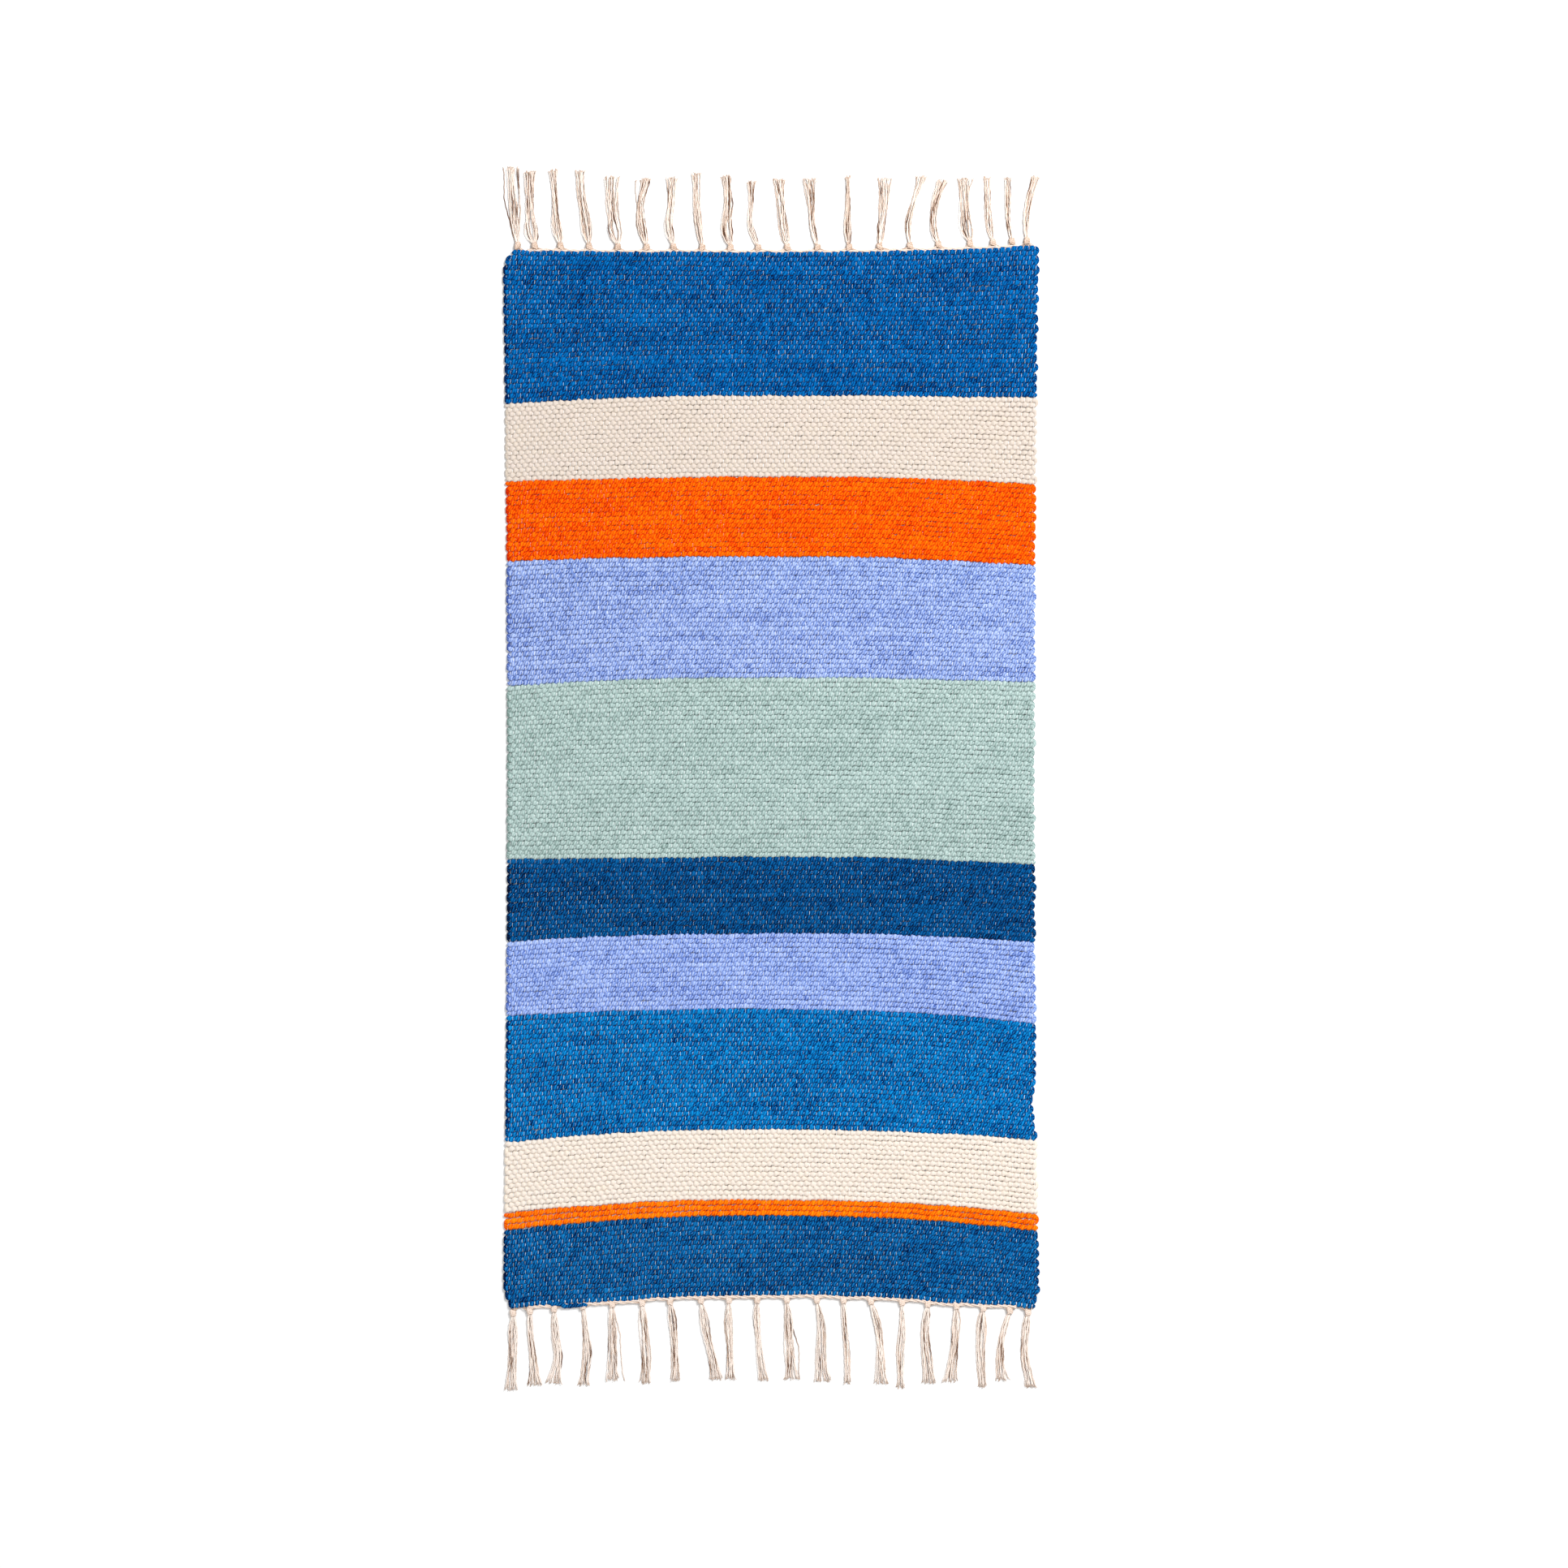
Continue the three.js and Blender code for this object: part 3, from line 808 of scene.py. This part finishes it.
def make_tassel(end, out, number, knot):
    """One tassel: cut strands from its knot to its frayed tips, lying on the floor in layers."""
    node = f"{end}_tassel_{number:02d}"
    lay = tassel_lay(node, knot)
    own = np.random.default_rng(SEED + 100 * number + out)
    strays = STRAYS[end].get(number, [])
    fill = round(float(lay[1:, 2].mean()) * STRANDS_DEEP / (2 * STRAND_RADIUS))
    slots = strand_slots(int(np.clip(fill, *STRANDS)) + len(strays), strays, own)
    path = strand_paths(lay, slots, NECK_SPREAD[end], GAPES[end].get(number, 0.0), strays, own)
    radius = STRAND_RADIUS * own.uniform(0.85, 1.1, (len(slots), 1)) * np.ones(STRAND_STEPS)
    tone = strand_tones(end, len(slots), own)
    # painted shade darkens the strands towards the floor and along their sides
    strands = tubes(path, radius, radius, STRAND_SIDES, tone, 0.0, 0.35, STRAND_RIM_SHADE)
    piece = make_piece(node + "_strands", [strands, fray(path, own)], fringe_cotton)
    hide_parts(node)
    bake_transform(piece)
    return piece


def knot_cords(knots, out, own, shade):
    """Every knot of one end: a lump of cords wound aslant round the gathered warp ends."""
    paths = []
    for x, y in knots:
        lean = own.uniform(0.25, 0.5) * own.choice([-1, 1])
        for cords, middle, size, turned in KNOT_COILS:
            slant = turned * lean
            for c in range(cords):
                offset = c - (cords - 1) / 2
                swell = size * math.sqrt(1 - (offset / (cords * 0.72)) ** 2)
                a = np.linspace(-0.1, 1.06, KNOT_STEPS) * 2 * math.pi + own.uniform(0, 0.4)
                px = x + KNOT_SPAN * swell * np.cos(a)
                py = y + out * middle * MM + offset * KNOT_PITCH + slant * KNOT_SPAN * np.cos(a)
                pz = CLOTH_MID + KNOT_RISE * swell * np.sin(a)
                paths.append(np.stack([px, py, pz], 1))
    path = np.array(paths)
    radius = np.full(path.shape[:2], KNOT_CORD)
    tone = shade + own.uniform(-0.1, 0.1, (len(path), 1)) * np.ones(KNOT_STEPS)
    # painted shade in the knot's creases and along its cords' sides
    return tubes(path, radius, radius, STRAND_SIDES, tone, CLOTH_MID, 0.4, KNOT_RIM_SHADE)


def gathered_ends(knots, pick, out, band, own):
    """The warp ends past the last pick, each drawn sideways along the cloth's edge into its knot."""
    b = np.linspace(0, 1, GATHER_STEPS)[:, None]
    a = 1 - b
    paths = []
    for j in range(WARP_ENDS):
        x0, edge = cross_x[pick, j], cross_y[pick, j] + out * PICK_PITCH / 2
        xk, yk = knots[int(np.argmin(np.abs(knots[:, 0] - x0)))]
        away = x0 - xk
        offset = out * band * min(0.35 + abs(away) / (14 * MM), 1.1)
        exits = CLOTH_MID + own.uniform(-0.5, 0.5) * MM
        first = np.array([x0, edge - out * 3 * MM, CLOTH_MID])
        corner = np.array([x0, edge + 1.3 * offset, exits])
        runs = np.array([xk + 0.15 * away, edge + offset, CLOTH_MID + own.uniform(-1.3, 1.3) * MM])
        into = np.array([xk + np.clip(away * 0.3, -2.6 * MM, 2.6 * MM), yk, exits])
        paths.append(a**3 * first + 3 * a**2 * b * corner + 3 * a * b**2 * runs + b**3 * into)
    path = np.array(paths)
    radius = np.full(path.shape[:2], GATHER_RADIUS)
    tone = own.uniform(0.45, 0.75, (len(path), 1)) * np.ones(GATHER_STEPS)
    # painted crease shade towards the cloth's middle level
    return tubes(path, radius, radius, GATHER_SIDES, tone, CLOTH_MID, 0.3)


def edge_cords(pick, out, band):
    """The strip of warp ends that lie sideways along the cloth's edge, twisted together."""
    at, ends = np.linspace(6, WARP_ENDS - 7, STRIP_STEPS), np.arange(WARP_ENDS)
    x = np.interp(at, ends, cross_x[pick])
    edge = np.interp(at, ends, cross_y[pick]) + out * (PICK_PITCH / 2 + 0.6 * band)
    paths = []
    for c in range(3):
        a = x / STRIP_PITCH * 2 * math.pi + c * 2 * math.pi / 3
        y, z = edge + 0.45 * band * np.cos(a), CLOTH_MID + 0.9 * MM * np.sin(a)
        paths.append(np.stack([x, y, z], 1))
    path = np.array(paths)
    radius = np.full(path.shape[:2], 0.38 * band + 0.15 * MM)
    tone = np.full(path.shape[:2], 0.78)
    # painted crease shade towards the cloth's middle level
    return tubes(path, radius, radius, STRAND_SIDES, tone, CLOTH_MID, 0.3)


def make_fringe(end, out, body, pick, band):
    """One end's knot row and its tassels; band is the width of the strip along the cloth's edge."""
    own = np.random.default_rng(SEED + 500 + out)
    knots = np.array(knots_of(f"{end}_knot_row"))
    made = [
        make_tassel(end, out, n + 1, knot) for n, knot in enumerate(knots)
    ]
    cords = [
        knot_cords(knots, out, own, KNOT_TONE[end]),
        gathered_ends(knots, pick, out, band, own),
        edge_cords(pick, out, band),
    ]
    tied = make_piece(f"{end}_knots", cords, fringe_cotton)
    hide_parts(f"{end}_knot_row")
    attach(tied, body)
    return [tied, *made]


# the first colour, dark brown, is the one that painted shade on the fringe runs down to
fringe_cotton = yarn_material(
    "fringe_cotton", "69442d", "ccb09a", "f8ece3", FRINGE_FIBRE, CORD_PLY_SHADE
)
fringe_pieces = {
    "far": make_fringe("far", 1, BODY_FAR, 0, 2.0 * MM),
    "near": make_fringe("near", -1, BODY_NEAR, PICKS - 1, 2.9 * MM),
}

# ---- which body each woven piece follows ----
far_bands = set(frame["record"]["behaviour"]["bodies"][BODY_FAR])
for i, piece in enumerate(wefts):
    node = BANDS[i][0]
    low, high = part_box(node)
    if low.y < FOLD_Y + FOLD_HALF and high.y > FOLD_Y - FOLD_HALF:
        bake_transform(piece)
    else:
        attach(piece, BODY_FAR if node in far_bands else BODY_NEAR)
for piece in warps:
    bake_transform(piece)

# ---- each sheet of cloth's mean length and box, worked out and not used further ----
SHEET_HALF = 0.34  # a sheet's length is its mean over this far each side of the middle


for i, piece in enumerate(wefts):
    far, near = seams[i]
    xs = np.linspace(-SHEET_HALF, SHEET_HALF, 41)
    length = float(np.mean(far(xs) - near(xs)))
    low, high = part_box(BANDS[i][0])


# ---- stage ----
FLOOR_SIZE = 80
AMBIENT = 0.5


def make_floor():
    bpy.ops.mesh.primitive_plane_add(size=FLOOR_SIZE, location=(0, 0, 0))
    floor = bpy.context.object
    floor.name = "floor"
    material, _, shader = node_tree("floor")
    shader.inputs["Base Color"].default_value = (0.93, 0.93, 0.93, 1)
    shader.inputs["Roughness"].default_value = 0.9
    floor.data.materials.append(material)


def make_light(name, location, size, power):
    """A round soft light that looks at the rug's middle."""
    data = bpy.data.lights.new(name, "AREA")
    data.shape = "DISK"
    data.size = size
    data.energy = power
    light = bpy.data.objects.new(name, data)
    light.location = location
    aim = -light.location.normalized()
    light.rotation_euler = aim.to_track_quat("-Z", "Y").to_euler()
    bpy.context.scene.collection.objects.link(light)


make_floor()
make_light("key", (1.9, 1.8, 3.2), 1.9, 190)
make_light("fill", (-2.0, -1.0, 3.4), 3.0, 30)
world = bpy.data.worlds.new("studio")
world.use_nodes = True
world.node_tree.nodes["Background"].inputs["Color"].default_value = (1, 1, 1, 1)
world.node_tree.nodes["Background"].inputs["Strength"].default_value = AMBIENT
bpy.context.scene.world = world
bpy.context.scene.view_settings.view_transform = "Standard"

# ---- camera: straight above, a little to the right of the rug's middle ----
FRAME_WIDTH = 2.061  # of floor that the picture shows
CAMERA_HEIGHT = 5.0
SENSOR = 36.0
lens = bpy.data.cameras.new("camera")
lens.sensor_width = SENSOR
lens.lens = SENSOR * CAMERA_HEIGHT / FRAME_WIDTH
camera = bpy.data.objects.new("camera", lens)
camera.location = (0.017, -0.007, CAMERA_HEIGHT)
bpy.context.scene.collection.objects.link(camera)
bpy.context.scene.camera = camera
